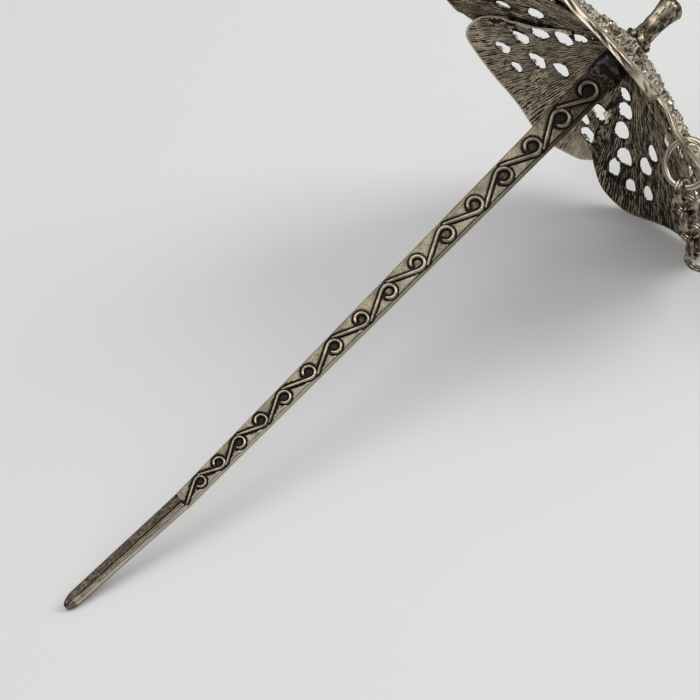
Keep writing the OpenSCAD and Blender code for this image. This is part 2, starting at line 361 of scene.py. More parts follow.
# The bar's own mesh: rings of points round its outline, face first. The face holds
# the chased grooves beside each wire, and the plain end's engraved line.
FACE_STEPS = 40
BEVEL_STEPS = 16
SIDE_STEPS = 5
EDGE_STEPS = 3
BACK_STEPS = 7
BACK_SHARE = 0.76
nose_turn = np.radians(np.linspace(16, 90, 12))
stations = np.concatenate([
    NOSE_LENGTH * (1 - np.cos(nose_turn)),
    np.arange(NOSE_LENGTH + 0.25, BEAD_X - 0.4, 0.25),
    np.arange(BEAD_X - 0.35, BEAD_X + 0.4, 0.05),
    np.arange(BEAD_X + 0.5, STICK_LENGTH, 0.12),
    [STICK_LENGTH]])
nose_size = np.sqrt(1 - (1 - np.clip(stations / NOSE_LENGTH, 0, 1)) ** 2)
carved = soft_step(BEAD_X - 0.05, BEAD_X + 0.05, stations)
half = stick_width(stations) / 2 * nose_size


def across(plain, scrolled):
    """A value that changes at the bead line, from the plain end to the scrolls."""
    return plain + (scrolled - plain) * carved


far_edge = half * across(0.86, 0.90)
near_share = np.interp(stations, [BEAD_X, 60, STICK_LENGTH], [0.66, 0.72, 0.86])
near_edge = -half * across(0.40, near_share)
plain_thick = np.interp(stations, [NOSE_LENGTH, BEAD_X], [0.85, 0.96])
face_z = HALF_THICK * nose_size * across(plain_thick, 1.0)
side_z = face_z - nose_size * across(0.42, 0.24)
far_side_z = face_z - 0.24 * nose_size
corners = [(far_edge, face_z), (near_edge, face_z), (-half, side_z), (-half, -side_z),
           (-half * BACK_SHARE, -face_z), (half * BACK_SHARE, -face_z), (half, -side_z),
           (half, far_side_z), (far_edge, face_z)]
step_counts = (FACE_STEPS, BEVEL_STEPS, SIDE_STEPS, EDGE_STEPS, BACK_STEPS, EDGE_STEPS,
               SIDE_STEPS, EDGE_STEPS)
outline = [corners[0]]
for (y0, z0), (y1, z1), steps in zip(corners, corners[1:], step_counts):
    curve = 1.5 if steps == BEVEL_STEPS else 1
    for s in np.linspace(0, 1, steps + 1)[1:]:
        outline.append((y0 + (y1 - y0) * s, z0 + (z1 - z0) * s ** curve))
outline.pop()
ring_y = np.stack([y for y, z in outline], 1)
ring_z = np.stack([z for y, z in outline], 1)
ring_x = np.repeat(stations[:, None], len(outline), 1)
spot = np.arange(len(outline))[None, :]
on_face = spot <= FACE_STEPS
on_bevel = (spot > FACE_STEPS) & (spot <= FACE_STEPS + BEVEL_STEPS)
upper = on_face | on_bevel
across_y = ring_y / half[:, None]
from_wire = wire_distance(ring_x, ring_y) - wire_size(ring_x)
scrolled = (ring_x > BEAD_X + 0.2) & upper
plain_end = (ring_x < BEAD_X) & upper
low_end = 1 - soft_step(40, 75, ring_x)

groove = np.where(scrolled, bell(np.maximum(from_wire, 0), 0.2), 0)
line = plain_end * soft_step(2.0, 3.4, ring_x) * (
    bell(across_y + 0.19, 0.07) + 0.8 * bell(across_y + 0.46, 0.05)
    + 0.7 * bell(across_y + 0.66, 0.045))
bead_edge = (across_y > 0.62) | ((across_y < -0.05) & (across_y > -0.8))
bead = bell(ring_x - BEAD_X, 0.15) * np.where(bead_edge, 1.0, 0.2)
nick = bell(ring_x - BEAD_X + 0.5, 0.5) * bell(across_y + 0.1, 0.07) * plain_end
uneven = (lattice_noise(ring_x, ring_y, 1.1, 3) * 0.018
          + lattice_noise(ring_x, ring_y, 0.4, 4) * 0.01)
ring_z = ring_z - upper * (GROOVE_DEPTH * groove + LINE_DEPTH * line + BEAD_DEPTH * bead
                           + NICK_DEPTH * nick - uneven)
bend = np.maximum(0, BEAD_X - ring_x) * math.tan(TIP_BEND)

# What stays black: the grooves, the ground inside the curls and beside the wires, the
# wedges of the low scrolls and the plain end's face. Its near side and nose get a painted sheen.
inside_curl = np.zeros(ring_x.shape)
for i, x in enumerate(scroll_places()):
    r = CURL_SHARE * stick_width(x)
    y = SCROLL_SIDE * r
    shade = (0.36 + 0.12 * math.sin(5.3 * i) + 0.6 * (1 - soft_step(40, 75, x))
             + 0.35 * soft_step(85, 105, x))
    inside_curl += shade * (1 - soft_step(0.8 * r, r, np.hypot(ring_x - x, ring_y - y)))
near_wire = np.exp(-np.maximum(from_wire, 0) / 0.35)
ragged = from_wire + 0.15 * lattice_noise(ring_x, ring_y, 0.4, 5)
wedge = low_end * (1 - soft_step(0.15, 0.55, ragged))
edge_line = np.where(on_bevel, bell(across_y + 0.9, 0.05), 0)
to_flower = soft_step(STICK_LENGTH - 28, STICK_LENGTH - 8, ring_x)
pit = (1.4 * groove + 1.3 * line + 1.4 * bead + nick
       + 0.7 * edge_line * carved[:, None] * (1 - 0.7 * low_end)
       + (inside_curl + 0.3 * near_wire + wedge) * scrolled * on_face
       + 0.57 * plain_end * (across_y > -0.19) + 0.42 * to_flower)
# Painted sheen: the near side lighter as if lit from there, and a painted highlight by the nose
near_side = (spot > FACE_STEPS) & (across_y < -0.2) & (ring_z > -0.5 * HALF_THICK)
streaks = 0.5 + 0.5 * lattice_noise(ring_x / 9, across_y, 0.12, 13)
painted_sheen = near_side * np.where(ring_x < BEAD_X, 0.45 + 0.5 * streaks, 0.45 + 0.35 * low_end)
painted_sheen = painted_sheen * (ring_x > 1.5) + bell(ring_x - 0.7, 0.5) * bell(across_y - 0.5, 0.3)
painted_sheen = painted_sheen * (1 - soft_step(STICK_LENGTH - 30, STICK_LENGTH - 12, ring_x))
bar_points = np.stack([ring_x, ring_y + bend, ring_z], -1).reshape(-1, 3)
last_cap = cap_quads((len(stations) - 1) * len(outline), len(outline))
bar_quads = (grid_quads(len(stations), len(outline), True).tolist()
             + cap_quads(0, len(outline)) + [q[::-1] for q in last_cap])
add_piece("stick_bar", lay_down(bar_points), bar_quads, stick_metal, "stick",
          {"pit": np.clip(pit, 0, 1).ravel(), "painted_sheen": np.clip(painted_sheen, 0, 1).ravel()})

# Scroll wires: each is a round raised bead of the casting that runs from a thin tail
# into a curl with a round free end. One node tree sweeps them all along their lines.
TAIL_THIN = 0.6
TAIL_GROWS = 0.08
END_ROUNDS = 0.035
WIRE_SIDES = 14
wire_points = []
wire_edges = []
wire_radii = []
for path in scroll_paths:
    radius = wire_size(path[:, 0])
    along = np.linspace(0, 1, len(path))
    radius = radius * (TAIL_THIN + (1 - TAIL_THIN) * soft_step(0, TAIL_GROWS, along))
    radius = radius * np.sqrt(np.clip((1.0 - along) / END_ROUNDS, 0.02, 1))
    first = len(wire_points)
    height = HALF_THICK + WIRE_HEIGHT - wire_size(path[:, 0])
    wire_points += np.column_stack([path, height]).tolist()
    wire_edges += [[first + j, first + j + 1] for j in range(len(path) - 1)]
    wire_radii += (radius * MM).tolist()


def node_tool(name, inputs):
    """A new geometry tree with a geometry input, the named inputs, and an output."""
    tree = bpy.data.node_groups.new(name, "GeometryNodeTree")
    tree.interface.new_socket("Geometry", in_out="INPUT", socket_type="NodeSocketGeometry")
    for label, (kind, value) in inputs.items():
        socket = tree.interface.new_socket(label, in_out="INPUT", socket_type=kind)
        if value is not None:
            socket.default_value = value
    tree.interface.new_socket("Geometry", in_out="OUTPUT", socket_type="NodeSocketGeometry")
    return tree, tree.nodes.new("NodeGroupInput"), tree.nodes.new("NodeGroupOutput")


def put(tree, kind, values, **settings):
    """Adds a geometry node; a value that is a socket is linked."""
    made = tree.nodes.new(kind)
    for key, value in settings.items():
        setattr(made, key, value)
    for key, value in values.items():
        if isinstance(value, bpy.types.NodeSocket):
            tree.links.new(value, made.inputs[key])
        else:
            made.inputs[key].default_value = value
    return made


def run_tool(carrier, tree, values):
    """The plain mesh that a geometry tree makes from carrier, which is removed."""
    modifier = carrier.modifiers.new("tool", "NODES")
    modifier.node_group = tree
    for item in tree.interface.items_tree:
        if item.in_out == "INPUT" and item.name in values:
            modifier[item.identifier] = values[item.name]
    depsgraph = bpy.context.evaluated_depsgraph_get()
    mesh = bpy.data.meshes.new_from_object(carrier.evaluated_get(depsgraph))
    bpy.data.objects.remove(carrier)
    return mesh


def line_carrier(name, points, edges, radii):
    """Lines with a radius at each point, for a tree that sweeps along them."""
    mesh = bpy.data.meshes.new(name)
    mesh.from_pydata(points.tolist(), edges, [])
    layer = mesh.attributes.new("thick", "FLOAT", "POINT")
    layer.data.foreach_set("value", np.asarray(radii, dtype=np.float32))
    carrier = bpy.data.objects.new(name, mesh)
    bpy.context.scene.collection.objects.link(carrier)
    return carrier


sweep, group_in, group_out = node_tool("sweep_round_wire", {
    "Sides": ("NodeSocketInt", WIRE_SIDES), "Material": ("NodeSocketMaterial", None)})
curve = put(sweep, "GeometryNodeMeshToCurve", {"Mesh": group_in.outputs["Geometry"]})
thick = put(sweep, "GeometryNodeInputNamedAttribute", {"Name": "thick"}, data_type="FLOAT")
profile = put(sweep, "GeometryNodeCurvePrimitiveCircle", {
    "Resolution": group_in.outputs["Sides"], "Radius": 1.0})
tube = put(sweep, "GeometryNodeCurveToMesh", {
    "Curve": curve.outputs[0], "Profile Curve": profile.outputs[0],
    "Scale": thick.outputs["Attribute"], "Fill Caps": True})
smooth = put(sweep, "GeometryNodeSetShadeSmooth", {"Geometry": tube.outputs[0]})
real = put(sweep, "GeometryNodeRealizeInstances", {"Geometry": smooth.outputs[0]})
dressed = put(sweep, "GeometryNodeSetMaterial", {
    "Geometry": real.outputs[0], "Material": group_in.outputs["Material"]})
sweep.links.new(dressed.outputs[0], group_out.inputs[0])

wires = run_tool(line_carrier("wires", lay_down(wire_points), wire_edges, wire_radii),
                 sweep, {"Sides": WIRE_SIDES, "Material": wire_metal})
wires.name = "scroll_wires"
enter_piece("scroll_wires", wires)

# Bloom: five petals cast as one, each overlapping the next, with a smooth raised
# rim, drop-shaped piercings, fine veins below and a lumpy granulated face above.
# Drawn upright round the stick's axis, its petals' slopes meeting at BLOOM_X.
BLOOM_X = 123.0
CROWN = 2.0
PETAL_SLOPE = 22.8
PETAL_TILT = math.radians(1.6)
PETAL_THICK = 0.85
RIM_THICK = 1.4
RIM_WIDTH = 1.2
BLOOM_TURN = 31.8
PETAL_STEP = 72
PETAL_HALF = 39.5
HUB_R = 1.0
MARGIN_R = 29.8
LAP_CORNER = 2.2
MARGIN_BACK = 0.02
FAR_PETAL, TOP_PETAL, NEAR_PETAL, RING_PETAL, RIGHT_PETAL = range(5)
PETALS = [
    # reach, shoulder on the under edge, shoulder on the over edge, degrees steeper
    (29.2, -0.3, 1.6, 0.0),
    (29.8, 0.6, 0.9, 0.0),
    (29.8, 0.6, 1.0, -0.4),
    (29.8, 0.8, 1.0, 2.6),
    (29.7, 0.9, 2.9, 0.0),
]
PIERCINGS = [
    # distance from the middle, angle, length, width
    (9.6, 28.5, 2.0, 2.2),
    (12.4, 25, 2.6, 2.7),
    (16.3, 25.5, 2.8, 2.6),
    (20.8, 22, 2.8, 2.8),
    (23.8, 26.5, 2.7, 2.0),
    (25.4, 18, 2.0, 2.0),
    (20.6, 9.4, 2.7, 2.3),
    (17.8, 2.9, 2.5, 1.7),
    (25.3, 9.5, 2.2, 1.8),
    (16.6, -30, 2.2, 2.7),
    (21.6, -29.5, 1.7, 2.3),
    (20.2, -20, 2.0, 1.9),
    (15.1, -18.5, 2.2, 2.8),
]
FAR_PIERCINGS = [
    (8.5, 35, 2.1, 2.4),
    (11.4, 31, 2.4, 3.5),
    (14.9, 34.9, 2.5, 3.0),
    (18.8, 29.1, 2.2, 3.2),
    (23.3, 21.7, 1.9, 2.6),
    (16.3, 2.7, 1.9, 2.7),
    (19.1, 11.9, 2.0, 3.3),
    (23.8, 10.5, 1.4, 2.1),
    (16.7, -29.6, 2.6, 3.0),
    (20.4, -24.3, 1.7, 2.0),
    (22.4, -29.2, 2.2, 2.6),
]
RIDGE_CLEAR = -28
DROP_SQUARENESS = 2.3
DROP_TAPER = 0.35
HOLE_EASE = 0.09
COVERED_ANGLE = 33.2
COVERED_EASE = 0.6
RING_HOLE_ANGLE = -21.3
RING_HOLE_INSET = 1.95
RING_HOLE_R = 1.15
CRUMBS = [
    # petal, distance, angle, size: where the cast has a crumbly surface
    (FAR_PETAL, 20.3, 4.5, 1.6),
    (FAR_PETAL, 23.2, -32.5, 1.5),
    (FAR_PETAL, 18.0, -29.5, 0.9),
    (RIGHT_PETAL, 25.8, 29.5, 1.2),
    (RIGHT_PETAL, 27.0, 21.0, 1.2),
    (RIGHT_PETAL, 14.6, 22.5, 0.9),
]
# Painted shade: the top and right petals are darkened all over, as if turned from the light
PETAL_PAINTED_SHADE = {TOP_PETAL: 0.45, RIGHT_PETAL: 0.52}
FAR_UNDER_HALF = 43.0
RIDGE_R = 15.0
LAP_DEPTH = 0.45
LAP_DEEPENS = 0.0327
RIB_STEP = 2.2
RIB_DEPTH = 0.2
GRAIN_HEIGHT = 1.15
GRAIN_GROUND = 0.5
ANGLE_STEPS = 370
REACH_STEPS = 104
WALL_LEVELS = (0.05, 0.13, 0.22, 0.32, 0.41, 0.5, 0.59, 0.68, 0.78, 0.87, 0.95)


def petal_reach(k, a):
    """Distance of petal k's margin at a degrees from its middle line."""
    reach, under, over, _ = PETALS[k]
    return (reach * (1 - 0.105 * np.abs(a / 36) ** 5)
            + under * bell(a - 20, 9) + over * bell(a + 16, 9))


def droop(k, r, a):
    """How far petal k's underside lies behind the point where the slopes meet."""
    steep = math.tan(math.radians(PETAL_SLOPE + PETALS[k][3]))
    rad = np.radians(a)
    side = math.tan(PETAL_TILT) * np.sin(rad) + 0.03 * (1 - np.cos(2.5 * rad))
    curl = 0
    if k == RING_PETAL:
        # it curls up over its neighbour at its free corner
        curl = 1.3 * (r / MARGIN_R) ** 2 * np.clip((-24.5 - a) / 8, 0, 1) ** 1.5
    elif k == NEAR_PETAL:
        # its margin runs straighter on one side
        curl = 0.9 * (r / MARGIN_R) ** 2 * bell(a + 8, 7)
    return np.hypot(CROWN, r * (steep + side)) - curl


def piercings_of(petal):
    """A petal's piercings, without those that the far petal's ridge runs over."""
    if petal == FAR_PETAL:
        return FAR_PIERCINGS
    if petal == TOP_PETAL:
        return [row for row in PIERCINGS if row[1] > RIDGE_CLEAR]
    return PIERCINGS


def drop_outline(out, side):
    """0.5 on a drop's outline, from shares of its length and width off its middle."""
    power = DROP_SQUARENESS
    return (np.abs(out) ** power + np.abs(side * (1 - DROP_TAPER * out)) ** power) ** (1 / power)


def hole_distance(k, r, a):
    """Distance into petal k's metal from the nearest piercing, negative inside it."""
    best = np.full(r.shape, 9.0)
    for turns in (-1, 0, 1):
        owner = (k + turns) % len(PETALS)
        own_a = a - PETAL_STEP * turns
        wobble = lattice_noise(r + 40 * owner, own_a * 0.35 + 60, 0.9, 11)
        for at_r, at_a, length, wide in piercings_of(owner):
            off = np.radians(own_a - at_a)
            edge = drop_outline((r * np.cos(off) - at_r) / length, r * np.sin(off) / wide) - 0.5
            inside = edge * min(length, wide) + 0.1 * wobble - HOLE_EASE
            if k == TOP_PETAL and owner == FAR_PETAL:
                # wider where the far petal covers this one, and none beside its ridge
                inside = np.maximum(inside - COVERED_EASE, np.radians(a + COVERED_ANGLE) * r)
            best = np.minimum(best, inside)
    if k == RING_PETAL:
        off = np.radians(a - RING_HOLE_ANGLE)
        out = r * np.cos(off) - petal_reach(k, RING_HOLE_ANGLE) + RING_HOLE_INSET
        best = np.minimum(best, np.hypot(out, r * np.sin(off)) - RING_HOLE_R)
    return best


def lumps(x, y, size, seed):
    """Rounded grains packed side by side: 1 on a grain's top, 0 between grains."""
    rng = np.random.default_rng(seed)
    shift = rng.uniform(0, 1, (64, 64, 2))
    tall = rng.uniform(0.45, 1, (64, 64))
    u, v = x / size, y / size
    i, j = np.floor(u).astype(int), np.floor(v).astype(int)
    near = np.full(u.shape, 9.0)
    height = np.zeros(u.shape)
    for di in (-1, 0, 1):
        for dj in (-1, 0, 1):
            p, q = (i + di) % 64, (j + dj) % 64
            d = np.hypot(i + di + shift[p, q, 0] - u, j + dj + shift[p, q, 1] - v)
            closer = d < near
            near = np.where(closer, d, near)
            height = np.where(closer, tall[p, q], height)
    return np.clip(1 - near * near * 1.5, 0, 1) * height


def bloom_lay(points):
    """Points of the upright bloom, brought to their resting place."""
    x, y, z = points[:, 0], points[:, 1], points[:, 2]
    return lay_down(np.column_stack([BLOOM_X + z, y, -x]))


def veins(k, r, a):
    """The fine ribs that run out along a petal and split in two: 1 on a rib, 0 between."""
    bent = (a + 0.8 * lattice_noise(r, a * 0.3, 3.4, 81 + k)
            + 0.22 * lattice_noise(r, a, 1.3, 91 + k))
    split = soft_step(12, 15, r + 2.5 * lattice_noise(a, 0 * a + 3, 2.5, 95))
    even = (np.sin(2 * math.pi * bent / RIB_STEP) * (1 - split)
            + np.sin(4 * math.pi * bent / RIB_STEP) * split)
    loose = lattice_noise(r * 0.8, bent / 0.6, 1.0, 111 + k)
    return np.clip(0.5 + 0.36 * even + 0.42 * loose, 0, 1)


class Petal:
    """Petal k as a grid of points, each with its place and its nearness to an edge."""

    def __init__(self, k):
        self.k = k
        self.under_half = FAR_UNDER_HALF if k == FAR_PETAL else PETAL_HALF
        a = np.linspace(-PETAL_HALF, self.under_half, ANGLE_STEPS + 1)[None, :]
        share = np.linspace(0, 1, REACH_STEPS + 1)[:, None]
        share = 1 - (1 - share) * (1 - 0.15 * share)
        self.r = HUB_R + (self.margin(a) - HUB_R) * share
        self.a = np.repeat(a, REACH_STEPS + 1, 0)
        metal = hole_distance(k, self.r, self.a)
        self.kept = metal[:-1, :-1] + metal[1:, :-1] + metal[:-1, 1:] + metal[1:, 1:] > 0
        self.draw_to_outlines()
        self.metal = np.abs(hole_distance(k, self.r, self.a))
        self.turn = np.radians(BLOOM_TURN + PETAL_STEP * k + self.a)
        self.x, self.y = self.r * np.cos(self.turn), self.r * np.sin(self.turn)
        self.inset = np.maximum(self.margin(self.a) - self.r, 0)
        self.base = -droop(k, self.r, self.a)
        self.rim = 1 - soft_step(RIM_WIDTH * 0.8, RIM_WIDTH * 1.15, self.inset)
        self.edge_band = 1 - soft_step(0.3, 0.6, self.inset)
        self.hole_edge = bell(self.metal, 0.2)
        self.outer_edge = bell(self.inset, 0.15)
        # the near petal's rim broadens towards its corner, and the ring's petal has none
        self.broad = (soft_step(16, 34, self.a) * (1 - soft_step(36, PETAL_HALF, self.a))
                      * (k == NEAR_PETAL))
        self.swell = (RIM_THICK - PETAL_THICK) / 2 * (k != RING_PETAL) * (1 + 0.8 * self.broad)

    def margin(self, a):
        """Distance of the margin at angle a, rounded off at the lapped corner."""
        corner = LAP_CORNER * np.clip((a - self.under_half + 3) / 3, 0, 1) ** 2
        return petal_reach(self.k, a) - corner - MARGIN_BACK

    def draw_to_outlines(self):
        """Moves the points on a piercing's stepped edge onto its true outline."""
        touched = np.zeros(self.r.shape, bool)
        cut = np.zeros(self.r.shape, bool)
        for di in (0, 1):
            for dj in (0, 1):
                cells = slice(di, REACH_STEPS + di), slice(dj, ANGLE_STEPS + dj)
                touched[cells] |= self.kept
                cut[cells] |= ~self.kept
        step = 0.05
        for _ in range(2):
            here = hole_distance(self.k, self.r, self.a)
            turn = np.degrees(step / np.maximum(self.r, 2))
            grad_r = (hole_distance(self.k, self.r + step, self.a) - here) / step
            grad_a = (hole_distance(self.k, self.r, self.a + turn) - here) / step
            size = np.maximum(np.hypot(grad_r, grad_a), 0.3)
            pull = np.where(touched & cut, np.clip(here / size, -0.3, 0.3), 0)
            self.r = self.r - pull * grad_r / size
            self.a = self.a - np.degrees(pull * grad_a / size / np.maximum(self.r, 2))

    def upper_face(self):
        """Height, pits and polish of the granulated face."""
        k, x, y = self.k, self.x, self.y
        grains = soft_step(0.32, 1.12, lumps(x + 3 * k, y, 1.5, 21 + k) * 0.75
                           + lumps(x, y, 0.7, 31 + k) * 0.6)
        relief = soft_step(3.2, 5.0, self.r) * (1 - self.rim)
        height = self.base + PETAL_THICK - GRAIN_GROUND * relief + self.swell * self.rim
        height += GRAIN_HEIGHT * grains * relief * (1 - 0.9 * bell(self.metal, 0.6))
        height -= 0.16 * self.hole_edge + 0.16 * self.outer_edge
        height -= 0.22 * np.exp(-self.metal / 0.7) * (1 - self.rim)
        pits = np.clip(1.0 - 1.9 * grains + 0.2 * self.hole_edge, 0, 1) * relief
        polish = np.maximum(self.rim, relief * soft_step(0.45, 0.8, grains))
        return height, pits, polish

    def crumbly(self):
        """1 where the cast has a crumbly surface, and 0 elsewhere."""
        rough = np.zeros(self.r.shape)
        for petal, at_r, at_a, size in CRUMBS:
            if petal == self.k:
                away = np.hypot(self.r - at_r, self.r * np.radians(self.a - at_a))
                rough = np.maximum(rough, 1 - soft_step(0.5 * size, size, away))
        return rough

    def lower_face(self):
        """Height, pits and painted shade, and polish of the veined face, and how strongly veins
        show.
        """
        k, r, a = self.k, self.r, self.a
        rib = veins(k, r, a)
        smooth = np.clip(bell(r - 26.0, 3.4) * bell(a + 33, 9) * 1.3, 0, 1)
        plain = (1 - smooth) * (1 - self.edge_band)
        waves = (lattice_noise(self.x, self.y, 2.2, 41 + k) * 0.07
                 + lattice_noise(self.x, self.y, 0.9, 51 + k) * 0.05)
        crumb = lumps(self.x, self.y, 0.55, 121 + k)
        crumbly = self.crumbly()
        height = self.base + (waves - RIB_DEPTH * (rib - 0.5)) * plain - 0.3 * crumb * crumbly
        height -= self.swell * (1 - soft_step(0.3, 2.2, self.inset))
        height += 0.14 * self.hole_edge + 0.16 * self.outer_edge
        # the lapped edge is filed down into its neighbour, except where it stays a ridge
        lap = soft_step(28, self.under_half, a)
        ridge = {FAR_PETAL: bell(r - RIDGE_R, 5.0), RIGHT_PETAL: 0.0}.get(k, 1.0)
        height += lap * (LAP_DEEPENS * r + LAP_DEPTH) * (1 - ridge)
        height += 0.35 * (1 - soft_step(-34, -31, a)) * (k != RING_PETAL)
        lip = bell(a - self.under_half + 2, 1.6) * ridge * (k == FAR_PETAL)
        height -= 0.1 * lip
        # black lies by the piercings, the ridge and the middle, and between the veins; painted
        # shade darkens two petals
        crevice = bell((a + PETAL_STEP - FAR_UNDER_HALF - 0.5) * np.radians(r), 0.5)
        crevice = crevice * bell(r - RIDGE_R, 5.5) * (k == TOP_PETAL)
        pits = (0.55 * np.exp(-self.metal / 0.28) + 0.8 * crevice - 0.9 * lip
                + 0.9 * (1 - soft_step(3, 10, r))
                + (0.58 - rib) * (2.1 - 0.6 * soft_step(14, 22, r)) * plain
                + crumbly * (0.75 - 1.5 * crumb) + PETAL_PAINTED_SHADE.get(k, 0.0))
        polish = np.maximum(self.edge_band * 0.6, lip)
        polish = np.maximum(polish, crumbly * soft_step(0.3, 0.7, crumb))
        return height, pits, polish, plain


def open_sides(quads):
    """The directed sides that only one of the quads has."""
    sides = {}
    for q in quads.tolist():
        for p, s in zip(q, q[1:] + q[:1]):
            if (s, p) in sides:
                del sides[(s, p)]
            else:
                sides[(p, s)] = True
    return list(sides)


def make_petal(k, material):
    """One petal: two faces in relief, with walls round the margin and the piercings."""
    petal = Petal(k)
    top, above, gloss_above = petal.upper_face()
    low, below, gloss_below, plain = petal.lower_face()
    count = top.size
    ids = np.arange(count).reshape(top.shape)
    quads = np.stack([ids[:-1, :-1], ids[1:, :-1], ids[1:, 1:], ids[:-1, 1:]], -1)[petal.kept]
    faces = [quads, quads[:, ::-1] + count]
    sides = open_sides(quads)
    border = sorted({v for pair in sides for v in pair})
    place = {v: i for i, v in enumerate(border)}
    walls = len(WALL_LEVELS) * len(border)

    def at(values):
        return values.ravel()[border]

    def spread(values):
        """A grid's values on both faces and on every ring of the walls."""
        return np.concatenate([values.ravel()] * 2 + [at(values)] * len(WALL_LEVELS))

    outer = at(petal.inset) < 0.05
    wall_x, wall_y, broad = at(petal.x), at(petal.y), at(petal.broad)
    points = [np.column_stack([petal.x.ravel(), petal.y.ravel(), face.ravel()])
              for face in (top, low)]
    pits = [above.ravel(), below.ravel()]
    polish = [gloss_above.ravel(), gloss_below.ravel()]
    # the margin's wall is bulged, with a groove along its middle
    grooved = (1.0 if k == NEAR_PETAL else 0.45) * (1 - broad)
    hole_pit = 0.75 - 0.5 * lattice_noise(wall_x, wall_y, 0.3, 131)
    out_x, out_y = np.cos(at(petal.turn)), np.sin(at(petal.turn))
    first = 2 * count
    ring_ids = [np.array(border)]
    for level in WALL_LEVELS:
        sink = 0.12 * grooved * bell(level - 0.5, 0.2)
        shift = np.where(outer, 0.12 * math.sin(math.pi * level) - 0.15 - sink, 0.0)
        points.append(np.column_stack([wall_x + out_x * shift, wall_y + out_y * shift,
                                       at(top) + (at(low) - at(top)) * level]))
        mottled = 0.3 * lattice_noise(wall_x, wall_y + 3 * level, 0.9, 141)
        outer_pit = 0.3 + 0.14 * broad + mottled + 0.45 * grooved * bell(level - 0.5, 0.26)
        pits.append(np.where(outer, outer_pit, hole_pit))
        polish.append(np.where(outer, 1.0, 0.0))
        ring_ids.append(first + np.arange(len(border)))
        first += len(border)
    ring_ids.append(ring_ids[0] + count)
    pairs = np.array([[place[p], place[s]] for p, s in sides])
    for upper, lower in zip(ring_ids[:-1], ring_ids[1:]):
        faces.append(np.column_stack([upper[pairs[:, 0]], lower[pairs[:, 0]],
                                      lower[pairs[:, 1]], upper[pairs[:, 1]]])[:, ::-1])
    used, compact = np.unique(np.vstack(faces), return_inverse=True)
    vein = np.concatenate([np.zeros(count), plain.ravel(), np.zeros(walls)])
    under = np.concatenate([np.zeros(count), np.ones(count), np.full(walls, 0.5)])
    masks = {"pit": np.clip(np.concatenate(pits), 0, 1)[used], "vein": vein[used],
             "polish": np.concatenate(polish)[used], "under": under[used]}
    uv = np.column_stack([spread(petal.a) + 200 * k, spread(petal.r)])
    add_piece(f"petal_{k + 1}", bloom_lay(np.vstack(points)[used]), compact.reshape(-1, 4),
              material, "bloom" if k == FAR_PETAL else None, masks, uv[used])


PETAL_GREY = (0.17, 0.145, 0.105, 1)
PETAL_BRIGHT_ABOVE = (0.78, 0.69, 0.55, 1)
PETAL_BRIGHT_BELOW = (0.78, 0.67, 0.50, 1)
RIM_GLEAM_ABOVE = (0.80, 0.71, 0.58, 1)
RIM_GLEAM_BELOW = (0.46, 0.39, 0.30, 1)


def petal_finish():
    """Veined below, granulated above: dark in the veins, grey between, worn bright."""
    material, surface, place = new_finish("antiqued_petal_metal")
    pit = attribute(place, "pit")
    vein = attribute(place, "vein")
    polish = attribute(place, "polish")
    under = attribute(place, "under")
    drawn = place.node("ShaderNodeUVMap", {"uv_map": "veins"}, {})
    warp = place.grain(1.2, 1.0)
    along = drawn.node("ShaderNodeMapping", {}, {"Vector": drawn, "Scale": (2.1, 0.8, 1)})
    bent = along.node("ShaderNodeVectorMath", {"operation": "ADD"}, {
        0: along, 1: warp.node("ShaderNodeCombineXYZ", {}, {0: warp * 2.0})})
    lines = bent.node("ShaderNodeTexNoise", {}, {
        "Vector": bent, "Scale": 1.0, "Detail": 2.0, "Roughness": 0.62})
    fine = place.grain(0.26, 3.0, 0.6)
    cloud = place.grain(2.5)
    dots = place.grain(0.17, 1.0)
    rough = 1 - polish * 0.85
    dark = (pit * 0.95 + (0.5 - lines) * 2.6 * vein + (fine - 0.5) * 1.8 * rough
            + (cloud - 0.5) * 0.6 * vein + (dots - 0.58) * 0.8 * rough - polish * 0.25).clamped()
    worn = (fine * 0.8 + cloud * 0.6 + polish * 0.3 - 0.2).step(0.3, 0.75)
    bright = under.blend(PETAL_BRIGHT_ABOVE, PETAL_BRIGHT_BELOW)
    gleam = under.blend(RIM_GLEAM_ABOVE, RIM_GLEAM_BELOW)
    colour = tarnished(dark, worn.blend(PETAL_GREY, polish.blend(bright, gleam)))
    height = (fine * 0.5 + dots * 0.3) * rough + lines * vein * 0.9
    bump = place.node("ShaderNodeBump", {}, {
        "Strength": 0.7, "Distance": 0.08 * MM, "Height": height})
    paint(surface, Base_Color=colour, Metallic=1 - 0.5 * dark.step(0.3, 0.9),
          Roughness=0.24 + 0.45 * dark + 0.1 * under - 0.04 * polish, Normal=bump,
          Specular_Tint=EDGE_TINT)
    return material


petal_metal = petal_finish()
for k in range(len(PETALS)):
    make_petal(k, petal_metal)

# Boss: the small round seat in the bloom's middle that the stick's post passes
# through. It is cast with the petals, and the pistil's collar stands on it.
BOSS_R = 2.9
BOSS_BOTTOM = STICK_LENGTH + 0.08
BOSS_TOP = BLOOM_X - CROWN + PETAL_THICK + 0.25
BOSS_EDGE = 0.2
SEAM_TURN = math.radians(148)


